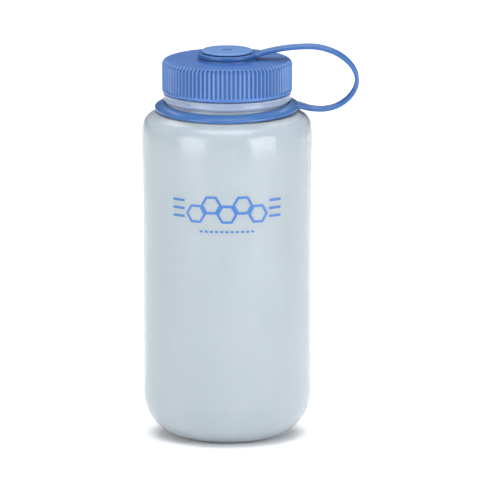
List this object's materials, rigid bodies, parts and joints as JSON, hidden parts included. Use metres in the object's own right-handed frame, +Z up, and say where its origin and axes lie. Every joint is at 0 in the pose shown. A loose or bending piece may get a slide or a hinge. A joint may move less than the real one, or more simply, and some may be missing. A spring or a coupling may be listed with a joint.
{
  "type": "wide-mouth loop-top bottle",
  "caption": "Translucent wide-mouth plastic bottle with a ribbed blue screw cap kept on the neck by a loop-shaped strap.",
  "frame": {"origin": "on the bottle's axis in the plane it stands on, 1 mm below the flat recessed centre of the base", "axes": "+Z up the bottle's axis, +X towards the tether's loop, -Y towards the front"},
  "size_m": [0.1131, 0.089, 0.2065],
  "materials": {
    "bottle": "milky translucent blow-moulded polyethylene with a soft gloss",
    "cap": "blue moulded polypropylene, satin gloss, finely ribbed side",
    "button": "blue moulded polypropylene, satin gloss",
    "tether": "blue flexible moulded polyethylene, satin"
  },
  "bodies": {
    "bottle": {"bottle_body": "bottle"},
    "cap_button": {"retaining_button": "button"},
    "cap": {"screw_cap": "cap"},
    "tether": {"tether_neck_half": "tether"},
    "cap_ring": {"tether_cap_half": "tether"}
  },
  "joints": [
    {"name": "cap_lift", "type": "slide", "parent": "bottle", "child": "cap_button", "axis": [0, 0, 1], "range_m": [0, 0.00636]},
    {"name": "cap_turn", "type": "hinge", "parent": "cap_button", "child": "cap", "pos_m": [0, 0, 0.19], "axis": [0, 0, 1], "range_deg": [0, 540]},
    {"name": "tether_swivel", "type": "hinge", "parent": "bottle", "child": "tether", "pos_m": [0, 0, 0.1745], "axis": [0, 0, 1], "continuous": true},
    {"name": "ring_lift", "type": "slide", "parent": "tether", "child": "cap_ring", "axis": [0, 0, 1], "range_m": [0, 0.00636]}
  ],
  "couplings": [
    {"joint": "cap_lift", "follows": "cap_turn", "m_per_rad": 0.00067377},
    {"joint": "ring_lift", "follows": "cap_turn", "m_per_rad": 0.00067377}
  ]
}
